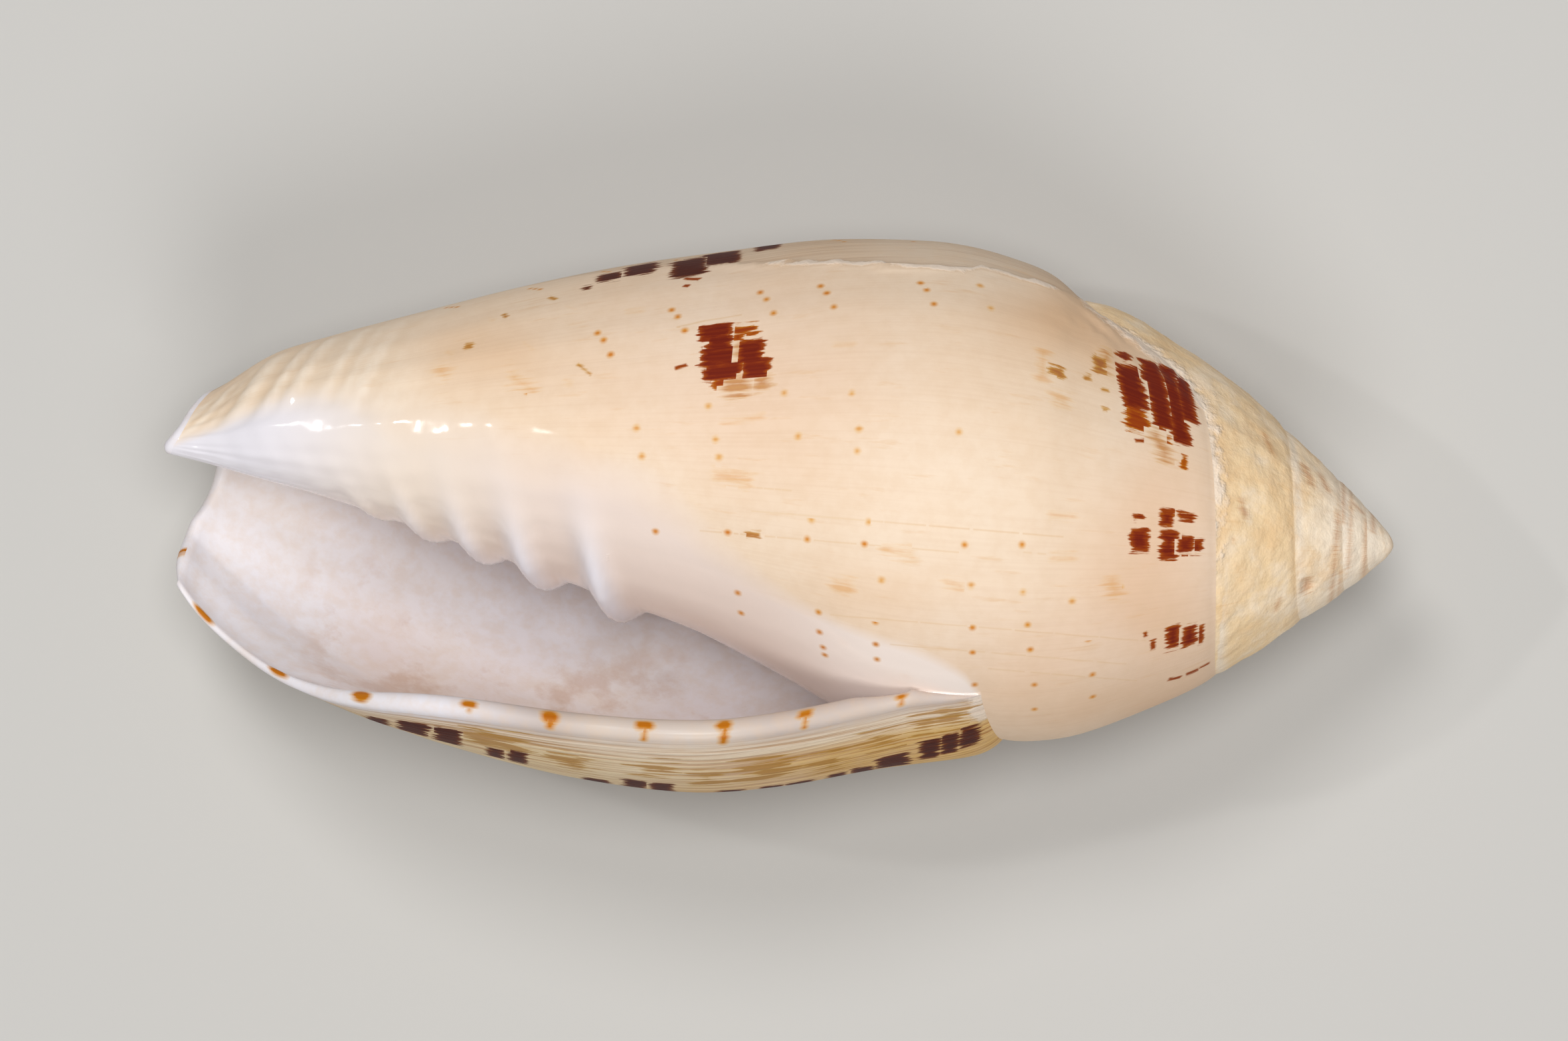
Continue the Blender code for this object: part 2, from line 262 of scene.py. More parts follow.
def relief(back, down):
    """Low relief of the outer face, mm: growth waves, the healed break and the ridges of old notches."""
    reach = whorl_radius(back, down)
    places = coil_point(back, down, reach)
    last = ease((360 - back) / 15)
    clear = ease((down - suture(back)) / 1.2) * ease((back - 2) / 6) * last
    waves = 0.012 * ripple(back, 9, 1) * ease((90 - back) / 50) + 0.02 * ripple(back, 23, 2)
    off_break = (back - break_line(down)) * math.pi / 180 * reach + 0.12 * lumps(places, 0.5, 6)
    along = ease((down - 13.6) / 1.5) * ease((31 - down) / 6)
    rough = 1 + 0.4 * lumps(places, 0.5, 3)
    healed = np.where(off_break > 0, 0.05 * np.exp(-off_break / 0.8), -0.05 * np.exp(off_break / 1.5))
    healed = healed + 0.12 * rough * bell(off_break - 0.1, 0.25)
    notch_zone = ease((back - 205) / 20) * ease((283 - back) / 25)
    notch_zone = notch_zone * ease((down - 41) / 2) * ease(48.5 - down)
    old_notches = 0.1 * notch_zone * notch_waves(back, down)
    crust = 0.07 * lumps(places, 0.45, 5) * last
    crust = crust * ease((268 - back) / 12) * ease((back - 228) / 8) * ease((15 - down) / 2)
    worn = 0.03 * lumps(places, 0.8, 8) + 0.015 * lumps(places, 0.35, 9)
    for pit_down, pit_across, wide, deep in PITS:
        off_pit = np.hypot(down - pit_down, places[..., 1] + pit_across)
        worn = worn - deep * bell(off_pit, wide) * (places[..., 2] > 0)
    clear_of_sutures = ease((down - suture(back)) / 0.3) * ease((suture(back - 360) - down) / 0.3)
    worn = worn * ease((back - 430) / 100) * ease((APEX_BACK - back) / 500) * clear_of_sutures
    dimples = 0.01 * lumps(places, 0.45, 7) * ease((back - 245) / 20) * ease((down - 30) / 4)
    dimples = dimples * (1 + 1.4 * ease((down - 38) / 4))
    grown = (waves + healed * along + old_notches + dimples) * clear * ease((front_rim(back) - down) / 0.6)
    return grown + crust * ease((down - suture(back)) / 0.4) + worn


def coil_point(back, down, r):
    """The points at these bearings, mm down and radii, in mm with the apex at the origin."""
    swinging = (down > APERTURE_TOP) & (back < CAVITY_END)
    swing = np.where(swinging, lip_swing(down) * (1 - back / CAVITY_END), 0)
    bearing = np.radians(LIP_BEARING + back + swing)
    return np.stack([-down + 0 * bearing, -r * np.sin(bearing), r * np.cos(bearing)], axis=-1)


def front_rim(back):
    """Mm down of the front rim. Past the free edge it returns on the columella's inner face."""
    return rim_curve(np.where(back <= TIP_BACK, back, 2 * TIP_BACK - back))


def whorl_down(back, row):
    """Last whorl: rows between the suture and the lip's corner, then on to the front rim."""
    t = row / SPIRE_ROWS
    upper = suture(back) + (CORNER - suture(back)) * t * (1 + t) / 2
    middle = CORNER + (APERTURE_TOP - CORNER) * (row - SPIRE_ROWS) / CORNER_ROWS
    share = (row - SPIRE_ROWS - CORNER_ROWS) / APERTURE_ROWS
    lower = APERTURE_TOP + (front_rim(back) - APERTURE_TOP) * share
    return np.where(row <= SPIRE_ROWS, upper, np.where(share <= 0, middle, lower))


def whorl_point(back, row):
    down = whorl_down(back, row)
    return coil_point(back, down, radius(back, down) + relief(back, down))


def spire_down(back, row):
    """Spire: rows between one suture and the next, spaced as on the last whorl and then closer near both."""
    t = row / SPIRE_ROWS
    spaced = t - 0.5 * np.sin(2 * math.pi * t) / (2 * math.pi)
    spaced += (t * (1 + t) / 2 - spaced) * (1 - ease((back - 360) / 60))
    return suture(back) + (suture(back - 360) - suture(back)) * spaced


def spire_point(back, row):
    down = spire_down(back, row)
    return coil_point(back, down, radius(back, down) + relief(back, down))


def hollow_down(back, row):
    """Hollow: rows between its ceiling and the front rim. Past 360 back is its inward side."""
    outer_back = np.where(back >= 360, back - 360, back)
    ceiling = APERTURE_TOP - CAVITY_RISE * outer_back / CAVITY_END
    return ceiling, ceiling + (front_rim(back) - ceiling) * row / APERTURE_ROWS


def hollow_point(back, row):
    outer_back = np.where(back >= 360, back - 360, back)
    ceiling, down = hollow_down(back, row)
    near = radius(outer_back + 360, down)
    room = radius(outer_back, down) - near
    flare = 1 - 0.55 * ease((down - 37) / 9) * (1 - ease(outer_back / 25))
    gap = room - np.minimum(wall(down) * flare, 0.55 * room)
    far = near + gap * quarter_round((down - ceiling) / 2.5)
    middle = (near + far) / 2
    opening = quarter_round((CAVITY_END - outer_back) / 50)
    side = np.where(back >= 360, near, far)
    return coil_point(back, down, middle + (side - middle) * opening)


def rounded_edge(outer, inner, outwards, step):
    """Points on the round edge that closes the outer face onto the inner one."""
    turn = (math.pi * step / EDGE_ROWS)[:, None]
    bulge = np.minimum(0.5 * np.linalg.norm(outer - inner, axis=1, keepdims=True), 0.45)
    return outer + (inner - outer) * (1 - np.cos(turn)) / 2 + unit(outwards) * bulge * np.sin(turn)


def lip_edge_point(row, step):
    """The lip's edge, from the outer face to the wall's inner face or to the last whorl."""
    outer = whorl_point(0 * row, row)
    first_row = SPIRE_ROWS + CORNER_ROWS
    next_whorl = whorl_point(0 * row + 360, row)
    inner_wall = hollow_point(0 * row, row - first_row)
    inner = np.where((row <= first_row)[:, None], next_whorl, inner_wall)
    onwards = unit(outer - whorl_point(0 * row + 2, row))
    forwards = np.array([[-0.7, 0, 0]]) * ease((row - WHORL_ROWS + 20) / 20)[:, None]
    return rounded_edge(outer, inner, onwards + forwards, step)


def front_rim_point(back, step):
    """The front rim: the wall's edge, then the blunt tip of the columella."""
    last_row = 0 * back + WHORL_ROWS
    rim_row = 0 * back + APERTURE_ROWS
    outer = np.where((back <= 360)[:, None], whorl_point(back, last_row), hollow_point(back, rim_row))
    partner = np.where(back <= CAVITY_END, back, 2 * TIP_BACK - back)
    inner = hollow_point(partner, rim_row)
    onwards = unit(whorl_point(0 * back, last_row) - whorl_point(0 * back + 2, last_row))
    corner = 1 - ease(back / 20)[:, None]
    return rounded_edge(outer, inner, np.array([[-1, 0, 0]]) * (1 - 0.3 * corner) + onwards * corner, step)


def bend_grid(bm, sheet, columns, rows, point, coil):
    """Adds a grid, moves each vertex to point(column, row) and keeps coil(column, row) in the UV map."""
    uv = bm.loops.layers.uv["coil"]
    kind = bm.faces.layers.int["sheet"]
    grid = bmesh.ops.create_grid(bm, x_segments=columns, y_segments=rows, size=1)
    verts = grid["verts"]
    column = np.array([round((vert.co.x + 1) / 2 * columns) for vert in verts], float)
    row = np.array([round((vert.co.y + 1) / 2 * rows) for vert in verts], float)
    backs, downs = coil(column, row)
    for vert, place, back, down in zip(verts, point(column, row), backs, downs):
        vert.co = place
        for loop in vert.link_loops:
            loop[uv].uv = (back, down)
            loop.face[kind] = sheet


OUTSIDE, HOLLOW, LIP, RIM = range(4)  # the four kinds of sheet


def grow_shell(bm):
    """All the grids, joined along their shared borders into one closed sheet, in mm.

    The UV map called coil holds degrees back and mm down. Across the lip's edge and on the
    wall inside it, its degrees run on below zero.
    """
    bm.loops.layers.uv.new("coil")
    bm.faces.layers.int.new("sheet")
    turn, reach = round(360 / STEP), round(CAVITY_END / STEP)

    def hollow_back(column):
        return np.where(column <= reach, column + turn, 2 * reach - column) * STEP

    def hollow_coil(column, row):
        back = hollow_back(column)
        return np.where(back < 360, -LIP_ARC - back, back), hollow_down(back, row)[1]

    bend_grid(
        bm, OUTSIDE, turn, WHORL_ROWS,
        lambda column, row: whorl_point(column * STEP, row),
        lambda column, row: (column * STEP, whorl_down(column * STEP, row)),
    )
    bend_grid(
        bm, OUTSIDE, round(APEX_BACK / STEP), SPIRE_ROWS,
        lambda column, row: spire_point(360 + column * STEP, row),
        lambda column, row: (360 + column * STEP, spire_down(360 + column * STEP, row)),
    )
    bend_grid(
        bm, HOLLOW, 2 * reach, APERTURE_ROWS,
        lambda column, row: hollow_point(hollow_back(column), row),
        hollow_coil,
    )
    bend_grid(
        bm, LIP, WHORL_ROWS - SPIRE_ROWS, EDGE_ROWS,
        lambda column, row: lip_edge_point(SPIRE_ROWS + column, row),
        lambda column, row: (-LIP_ARC * row / EDGE_ROWS, whorl_down(0 * column, SPIRE_ROWS + column)),
    )
    bend_grid(
        bm, RIM, round(TIP_BACK / STEP), EDGE_ROWS,
        lambda column, row: front_rim_point(column * STEP, row),
        lambda column, row: (column * STEP, front_rim(column * STEP)),
    )
    bmesh.ops.remove_doubles(bm, verts=bm.verts, dist=0.0005)
    tip = [vert for vert in bm.verts if vert.co.length < 0.03]
    bmesh.ops.pointmerge(bm, verts=tip, merge_co=(0, 0, 0))
    bmesh.ops.recalc_face_normals(bm, faces=bm.faces)


def wear_rest_spot(bm):
    """Cuts the lowest part of the back off flat and closes the cut."""
    lowest = min(vert.co.z for vert in bm.verts)
    geometry = bm.verts[:] + bm.edges[:] + bm.faces[:]
    cut = bmesh.ops.bisect_plane(
        bm, geom=geometry, plane_co=(0, 0, lowest + REST_CUT), plane_no=(0, 0, -1), clear_outer=True
    )
    edges = [item for item in cut["geom_cut"] if isinstance(item, bmesh.types.BMEdge)]
    flat = bmesh.ops.edgeloop_fill(bm, edges=edges)["faces"]
    uv = bm.loops.layers.uv["coil"]
    for loop in [loop for face in flat for loop in face.loops]:
        beside = next(other for other in loop.vert.link_loops if other.face not in flat)
        loop[uv].uv = beside[uv].uv
    bmesh.ops.recalc_face_normals(bm, faces=bm.faces)


lean = Matrix.Rotation(math.radians(PITCH), 3, "Y")


def fit_to_frame(bm):
    """Moves the shell from its own millimetres to its place in the CAD box, in metres. Returns the move."""
    lows = Vector([min(vert.co[axis] for vert in bm.verts) for axis in range(3)])
    highs = Vector([max(vert.co[axis] for vert in bm.verts) for axis in range(3)])
    wanted_low, wanted_high = cad_box
    size = [(wanted_high[axis] - wanted_low[axis]) / (highs[axis] - lows[axis]) for axis in range(3)]
    move = Matrix.Translation(wanted_low) @ Matrix.Diagonal((*size, 1)) @ Matrix.Translation(-lows)
    bmesh.ops.transform(bm, verts=bm.verts, matrix=move)
    return move


# Colours of the skin: the last whorl, its newer part and the lip, the spire with painted shade in its
# sutures, then the front and the crust.
CREAM, PEACH, OCHRE, WARM_WHITE = "F1DBBF", "EECDB2", "DCA468", "F6E8D6"
SMUDGE_OCHRE, GRAIN_TAN = "DFAF74", "E2C19E"
NEWER, STRAW, STRAW_GOLD, LINE_TAN, LIP_CREAM = "CEB498", "F0D8AA", "E6B65E", "C49A66", "F0DDC8"
SPIRE_CREAM, SPIRE_CHALK, SPIRE_TAN, SUTURE_SHADE_TAN = "FADBAE", "FEEDD6", "EABF88", "C49A6E"
NOTCH_PALE, NOTCH_TAN, CRUST, CRUST_OCHRE = "FDF0DE", "DFBF9A", "F6E8DA", "D8B28A"
# Colours of the glaze, the rim, greyed as painted shade, and the wall of the hollow, whiter deep inside as
# painted light.
GLAZE, CREAM_GLAZE, FRONT_GLAZE, CORNER_GLAZE, RIM_SHADED_WHITE = "F1DED2", "F2E1D0", "ECE8EE", "FFF0E6", "C6B7AF"
HOLLOW_WHITE, DEEP_HOLLOW_LIT, TAN_STAIN, SPECK_TAN = "F6F4FC", "FCF6F8", "EDD2C3", "D3AC92"
FLOOR_GREY = "C6C4C0"

# Soft patches on the face that is seen: how strong, mm down and across, and half the size both ways.
PEACH_PATCHES = ((0.45, 27, -5, 7, 5), (0.6, 9.5, 2, 3, 5), (0.4, 14, 6, 8, 3))
OCHRE_PATCHES = (
    (0.45, 14.3, -8.0, 3, 1.6), (0.35, 11.5, -6.8, 1.5, 1.5), (0.35, 9, 4, 1.8, 1.5), (0.2, 21, 3.6, 3, 1.2),
    (0.2, 36, -4.5, 4, 1.5), (0.15, 10, -2, 1.5, 3), (0.45, 10, 7.2, 4, 1.3), (0.15, 40, -5, 4, 1),
    (0.25, 10, 2.5, 2, 2),
)

# What each kind of mark looks like: colour, strength, the share of its width that is rounded off,
# how ragged its outline and how soft its edge is, and how far the growth lines draw it out. The last
# three are in mm.
KINDS = {
    "brown": ("822800", 1, 0.3, 0.9, 0.06, 0.25),
    "dark": ("5A1E00", 1, 0.5, 1, 0.1, 0.6),
    "chestnut": ("A44800", 1, 0.4, 1.1, 0.08, 0.4),
    "ochre": ("AE6608", 0.9, 0.5, 1.2, 0.1, 0.3),
    "haze": ("C88620", 0.75, 0.8, 1.2, 0.45, 1),
    "pale": ("E2A754", 0.5, 0.8, 1.2, 0.5, 1),
    "olive": ("B8841A", 0.75, 0.6, 1.7, 0.25, 5),
    "dot": ("CE7614", 0.95, 1, 0.15, 0.14, 0),
    "faint dot": ("DA9540", 0.85, 1, 0.3, 0.16, 0),
    "line": ("CF9A5E", 0.55, 1, 0.12, 0.05, 0),
    "rim spot": ("C47A0C", 1, 1, 0.3, 0.24, 0),
    "stain": ("C4844A", 0.55, 1, 1, 0.25, 0),
}

# Where the glossy callus starts on the face that is seen, mm down and mm across.
CALLUS_EDGE = (
    (16.3, 7.2), (17, 6.5), (19, 5.7), (21, 5.2), (23, 4.5), (25, 3.5), (27.5, 1.8), (29, 0.5),
    (31, -0.5), (33, -1.2), (35, -1.7), (38, -2.4), (40, -2.9), (42.3, -3.1), (44.5, -2.9),
    (46.5, -2.2), (48, -1.6),
)
# Brown strokes on that face: mm down and across of one end, then of the other, and mm wide.
STROKES = (
    (28.08, -6.65, 28.08, -6, 1.25), (27.87, -6.3, 27.87, -5.4, 1), (27.85, -5.8, 27.85, -4.9, 1.4),
    (27.65, -5.25, 27.65, -4.4, 1.55), (26.6, -6.15, 26.6, -5.1, 1), (26.32, -5.4, 26.3, -4.5, 1.1),
    (29.55, -4.75, 29.1, -4.95, 0.14), (29.5, -8.44, 28.9, -8.42, 0.2), (29.5, -8.12, 29.3, -8.12, 0.22),
    (11.75, -6.9, 11.35, -6.6, 0.55), (11.45, -6.35, 10.9, -4.65, 1.05),
    (10.9, -3.35, 10.5, -3.4, 0.17), (10.58, -6.65, 9.7, -3.95, 0.86),
    (9.87, -6.5, 8.95, -3.4, 0.74), (9.25, -6.1, 8.72, -4.3, 0.68),
    (10.55, -0.42, 10.5, -0.15, 0.45), (9.33, -0.65, 9.35, -0.05, 0.5), (8.6, -0.62, 8.6, -0.3, 0.6),
    (10.45, 0.15, 10.35, 1.1, 0.7), (9.2, 0.2, 9.2, 1.25, 0.62), (8.55, 0.35, 8.5, 1, 0.58),
    (8.07, 0.45, 8.05, 0.95, 0.38),
    (8.72, 3.95, 8.68, 4.85, 0.5), (8.05, 3.9, 8, 4.7, 0.48), (7.6, 3.85, 7.55, 4.6, 0.22),
    (9.5, 4.6, 9.45, 5, 0.22), (9.85, 4.3, 9.8, 4.5, 0.14),
    (8.7, 6.15, 8.2, 6.02, 0.2), (8, 5.9, 7.5, 5.62, 0.24), (7.5, 5.6, 7.1, 5.35, 0.16),
)
# The same in a lighter brown, in ochre, and paler still.
CHESTNUT_STROKES = (
    (27.65, -4.7, 27.6, -4.1, 0.65), (26.9, -6.72, 26.85, -6.32, 1.05), (27.2, -6.45, 27.1, -6, 0.4),
    (27.1, -5.6, 27.1, -5, 0.35), (10.95, -4.75, 10.85, -3.75, 0.9),
    (9.75, -3.6, 9.6, -2.85, 0.5), (8.85, -2.95, 8.85, -2.35, 0.24),
)
OCHRE_STROKES = (
    (12.55, -6.6, 12.5, -5.95, 0.55), (13.15, -5.75, 12.85, -5.75, 0.24), (12.4, -5.35, 12.1, -5.3, 0.16),
    (12.2, -4.6, 12.2, -4.4, 0.28), (14.3, -6.1, 14.3, -5.7, 0.65), (26.2, 1.72, 25.6, 1.7, 0.22),
    (34.9, -7.4, 34.6, -7.2, 0.2), (36.7, -6.4, 36.5, -6.3, 0.2), (32.9, -4.2, 33.5, -4.6, 0.12),
    (38.1, -4.95, 37.8, -5, 0.25),
)
PALE_STROKES = (
    (14.05, -5.1, 14, -4.5, 1), (14.9, -6.8, 14.8, -5.4, 0.6),
    (27.8, -0.6, 26, -0.4, 0.6), (27.6, -2.6, 25.8, -3.1, 0.35), (22.2, 3.2, 22, 3.9, 1),
    (14.2, -0.1, 13, -0.1, 0.4), (14, 1.6, 12.9, 1.5, 0.4), (39.2, -4, 38.6, -3.6, 0.6),
    (36.2, -3.9, 35, -3.3, 0.5), (31.8, -6.9, 31, -7, 0.3), (23.3, -6.2, 22.4, -6.3, 0.25),
    (38.9, -4.7, 38.5, -4.5, 0.3), (37.3, -6.2, 37, -6.1, 0.2), (34, -3.9, 33.6, -3.8, 0.3),
    (35.8, -5.3, 35.3, -5, 0.15), (34.2, -6.9, 33.7, -6.8, 0.15), (20.8, 1.9, 19.3, 1.9, 0.5),
    (18.2, 3, 17.2, 3.1, 0.5), (11.6, 2.2, 11, 3, 0.8),
)
# Ochre that fades out beside the large blotches.
HAZE_STROKES = (
    (27.1, -4.75, 27, -3.7, 1.3), (26.1, -4.9, 26, -4.1, 0.8), (27.1, -6.2, 27.1, -5.2, 0.5),
    (12.3, -6.9, 12.3, -5.9, 0.5), (10.3, -3.9, 9.4, -2.6, 0.8),
)
# Dirt in the worn places of the spire.
STAINS = (
    (3.9, -2.8, 3.6, -2.2, 0.5), (3.2, -2.5, 2.9, -2, 0.4), (2.4, -1.1, 2.2, -0.8, 0.3),
    (1.8, -1.5, 1.4, -1.2, 0.35), (1.2, -0.9, 0.9, -0.5, 0.3), (5.6, -3.9, 5.3, -3.3, 0.4),
    (6.4, -1.2, 6.2, -0.7, 0.35), (2.1, 1.2, 1.8, 1, 0.25), (4.6, 2.9, 4.5, 2.5, 0.3),
    (3.45, 1.75, 3.4, 2.05, 0.5), (6.6, 0.25, 6.6, 0.35, 0.2),
)
# Dark strokes that go over the upper edge, then dark and olive ones on the outside of the lip:
# mm down, degrees back from and to, and mm wide.
UPPER_STROKES = (
    (29.35, 236, 221, 1.45), (28.1, 231, 217, 1.5), (31.3, 230, 218, 1.3), (32.5, 230, 223, 1),
    (33.4, 234, 231, 0.35), (26.25, 224, 214, 1),
)
LIP_STROKES = (
    (16.5, 13, 25, 0.8), (17.25, 14, 27, 0.68), (18.05, 16, 28, 0.75), (19.5, 21, 34, 1.3),
    (20.7, 26, 40, 0.9), (21.7, 27, 41, 0.7), (23.2, 28, 42, 1.1), (24.3, 28, 41, 1), (25.9, 28, 42, 1.1),
    (28.7, 21, 33, 0.9), (29.8, 20, 31, 0.9), (31.4, 25, 37, 1.1), (34.6, 12, 24, 0.8), (35.5, 13, 24, 0.7),
    (37.5, 6, 19, 1.1), (38.9, 6, 17, 1.2), (40.4, 8, 17, 0.9),
)
LIP_OLIVE_STROKES = (
    (24.6, 9, 21, 2), (20, 8, 15, 1), (18.4, 6, 12, 0.8), (17.3, 4, 11, 1.2), (35.5, 5, 11, 3),
    (29, 8, 14, 1.5), (32.5, 9, 17, 1.5), (22, 13, 22, 1.2), (26.9, 12, 22, 1.2),
)
# Orange dots: single ones, and oblique groups of three, of which the first is listed.
DOTS = (
    (23.7, 1.7), (21.4, 1.7), (17.4, 1.4), (15.1, 1.2), (26.9, 1.7), (29.8, 1.9), (23, 4.6), (22.9, 5.4),
    (22.7, 6), (22.6, 6.3), (20.7, 4.8), (20.6, 5.7), (20.5, 6.3), (16.8, 4.7), (16.7, 5.7), (16.5, 7),
    (14.6, 4.4), (14.4, 5.4), (14.1, 6.8), (14, 7.8), (12.1, 4.8), (11.8, 6.2), (11.7, 7.1), (26.3, 4.1),
    (26.1, 4.9), (35.7, -3.6), (35.4, -3.3),
)
THREES = ((24, -8.55), (20, -9), (26.4, -8.1), (29.9, -7.1), (32.8, -5.9))
FAINT_DOTS = (
    (22.4, -4.3), (22, -2.9), (24.4, -2.4), (22, -2), (27.7, -2), (27.5, -1.3), (30.9, -2.2),
    (30.6, -1.1), (28.1, -3.3), (18, -3.1), (25.1, -4.1), (17.6, -9.1), (17.1, -8.2), (20.6, 3.1),
    (17, 3), (14.9, 3.1), (12.9, 3.3), (11, 2.6), (23.6, 0.9), (21.3, 0.8),
)
# Coloured growth lines on the same face: mm across, then mm down from and to.
GROWTH_LINES = (
    (1.72, 28, 17.5), (1.5, 15, 13), (0.75, 26, 13.5), (4.65, 22.5, 9.8), (5.65, 20, 10.5),
    (-0.2, 27, 24.5), (6.3, 16, 10),
)
# Amber spots on the lip's rim: mm down, degrees back, half length, mm wide, and the degrees back
# where the tail ends.
RIM_SPOTS = (
    (48.8, 25, 0.05, 0.6, 21), (47.8, -6.5, 0.1, 0.8, -5.5), (44.6, -6, 0.05, 0.9, -5),
    (41.1, -4.6, 0, 0.95, -3.8), (36.7, -4.2, 0.12, 0.62, -2.8), (33.4, -4, 0, 0.95, -1.8),
    (29.6, -4, 0.14, 0.68, -0.6), (26.4, -4, 0, 0.85, 0.2), (23.2, -4.1, 0.1, 0.62, -0.8),
    (19.4, -4, 0, 0.58, -1.6),
)


def seen_whorl(down, back):
    """The same bearing on the whorl whose outer face shows this far down."""
    while down < suture(back):
        back += 360
    return back


STRAIGHT_UP = 360 - LIP_BEARING  # the middle of the side that the aperture faces, degrees back


def back_on_face(down, across):
    """Degrees back of the point this far down and across on the side that the aperture faces."""
    back = STRAIGHT_UP
    for _ in range(6):
        sine = across / float(radius(back, down))
        back = STRAIGHT_UP + math.degrees(math.asin(max(-0.998, min(sine, 0.998))))
    return seen_whorl(down, back)


callus_edge = curve_through([(down, back_on_face(down, across)) for down, across in CALLUS_EDGE])


def all_marks():
    """Every mark as one stroke: its two ends in mm down and degrees back, mm wide, and its kind."""
    marks = []

    def face_strokes(strokes, kind):
        for down, across, other_down, other_across, wide in strokes:
            ends = (down, back_on_face(down, across), other_down, back_on_face(other_down, other_across))
            marks.append((*ends, wide, kind))

    def dots(places, wide, kind):
        for down, across in places:
            back = back_on_face(down, across)
            marks.append((down, back, down, back, wide, kind))

    face_strokes(STROKES, "brown")
    face_strokes(CHESTNUT_STROKES, "chestnut")
    face_strokes(OCHRE_STROKES, "ochre")
    face_strokes(PALE_STROKES, "pale")
    face_strokes(HAZE_STROKES, "haze")
    face_strokes(STAINS, "stain")
    for strokes, kind in ((UPPER_STROKES, "dark"), (LIP_STROKES, "dark"), (LIP_OLIVE_STROKES, "olive")):
        marks += [(down, back, down, other_back, wide, kind) for down, back, other_back, wide in strokes]
    dots(DOTS, 0.34, "dot")
    for down, across in THREES:
        dots(((down, across), (down - 0.27, across + 0.27), (down - 0.6, across + 0.82)), 0.36, "dot")
    dots(FAINT_DOTS, 0.36, "faint dot")
    for across, down, other_down in GROWTH_LINES:
        stops = np.linspace(down, other_down, 8)
        pieces = [(stop, across, other, across, 0.06) for stop, other in zip(stops, stops[1:])]
        face_strokes(pieces, "line")
    face_strokes(((29.6, -6.4, 28.5, -6.75, 0.1), (28.5, -6.75, 27.1, -7.1, 0.08)), "line")
    for down, back, half, wide, tail_back in RIM_SPOTS:
        marks.append((down - half, back, down + half, back, wide, "rim spot"))
        marks.append((down - 0.06, back, down - 0.02, tail_back, 0.6 * wide, "rim spot"))
    return marks + hidden_marks()


def hidden_marks():
    """Marks on the far side, set out like those that are seen: blocks in rows along the axis, and dots."""
    draw = np.random.default_rng(5)
    marks = []
    for row in (72, 112, 150, 188):
        for down in np.arange(11.0, 42.0, 1.35):
            likely = 0.8 * bell(down - 12, 4) + 0.9 * bell(down - 28, 5) + 0.5 * bell(down - 38, 3)
            back = seen_whorl(down, row + 6 * math.sin(down / 5 + row) + draw.uniform(-3, 3))
            long = draw.uniform(5, 16)
            wide = draw.uniform(0.7, 1.2)
            if draw.random() < likely:
                marks.append((down, back, down + 0.1, back + long, wide, "brown"))
            elif draw.random() < 0.35:
                marks.append((down, back, down, back + 0.6 * long, wide, "ochre"))
    for down in (12.1, 14.5, 17.2, 20.4, 23.6, 26.4, 29.9, 32.8, 35.7, 39.0):
        for start in np.arange(50, 222, 17.0):
            back = seen_whorl(down, start + draw.uniform(-4, 4))
            for step in range(draw.integers(1, 4)):
                at = (down - 0.2 * step, back + 2.0 * step)
                marks.append((*at, *at, 0.3, "dot"))
    return marks


def linear(hex_colour):
    """A linear RGBA colour from an sRGB hex value."""
    channels = []
    for start in (0, 2, 4):
        value = int(hex_colour[start:start + 2], 16) / 255
        channels.append(value / 12.92 if value <= 0.04045 else ((value + 0.055) / 1.055) ** 2.4)
    return (*channels, 1.0)


def read(items, name, width):
    """One property of many items, as an array."""
    whole = name in ("vertex_index", "loop_total", "value")
    values = np.empty(len(items) * width, np.int32 if whole else np.float32)
    items.foreach_get(name, values)
    return values.reshape(-1, width).astype(float) if width > 1 else values


class Corners:
    """What is known of each corner of each face: its place on the coil and in space, and its zones."""

    def __init__(self, mesh, move):
        coil = read(mesh.uv_layers["coil"].uv, "vector", 2)
        self.back, self.down = coil.T
        home = np.array((move @ lean.to_4x4()).inverted())
        places = read(mesh.vertices, "co", 3) @ home[:3, :3].T + home[:3, 3]
        places = places[read(mesh.loops, "vertex_index", 1).astype(int)]
        self.ahead, self.across, self.towards = -places[:, 0], -places[:, 1], places[:, 2]
        self.reach = np.hypot(self.across, self.towards)
        self.mm_a_degree = self.reach * math.pi / 180
        self.per_face = read(mesh.polygons, "loop_total", 1).astype(int)
        self.face = np.repeat(np.arange(len(self.per_face)), self.per_face)
        self.find_zones(read(mesh.attributes["sheet"].data, "value", 1)[self.face])

    def find_zones(self, sheet):
        back, down = self.back, self.down
        self.outside, self.hollow = sheet == OUTSIDE, sheet == HOLLOW
        self.last = self.outside & (back < 360)
        self.inward = back >= 360
        self.newer = self.last * ease((break_line(down) - back) / 2 + 0.5)
        self.straw = self.last * ease((70 - back) / 45)
        worn = np.maximum(ease((back - 430) / 130), 1 - ease((down - 5) / 2))
        self.spire = self.outside * self.inward * worn
        self.under_suture = from_suture(back, down)
        self.over_suture = -from_suture(np.maximum(back - 360, 0), down)
        self.edges = (sheet == LIP) | (sheet == RIM)
        self.from_edge = np.where(self.outside, back, 0) * self.mm_a_degree
        self.rim = np.where(self.last, 1 - ease(self.from_edge / 0.7), 0) + self.edges
        self.beside_lip = self.hollow * ~self.inward * ease((47.5 - down) / 5) * ease((down - 20) / 8)

    def face_mean(self, values):
        return np.bincount(self.face, values) / self.per_face


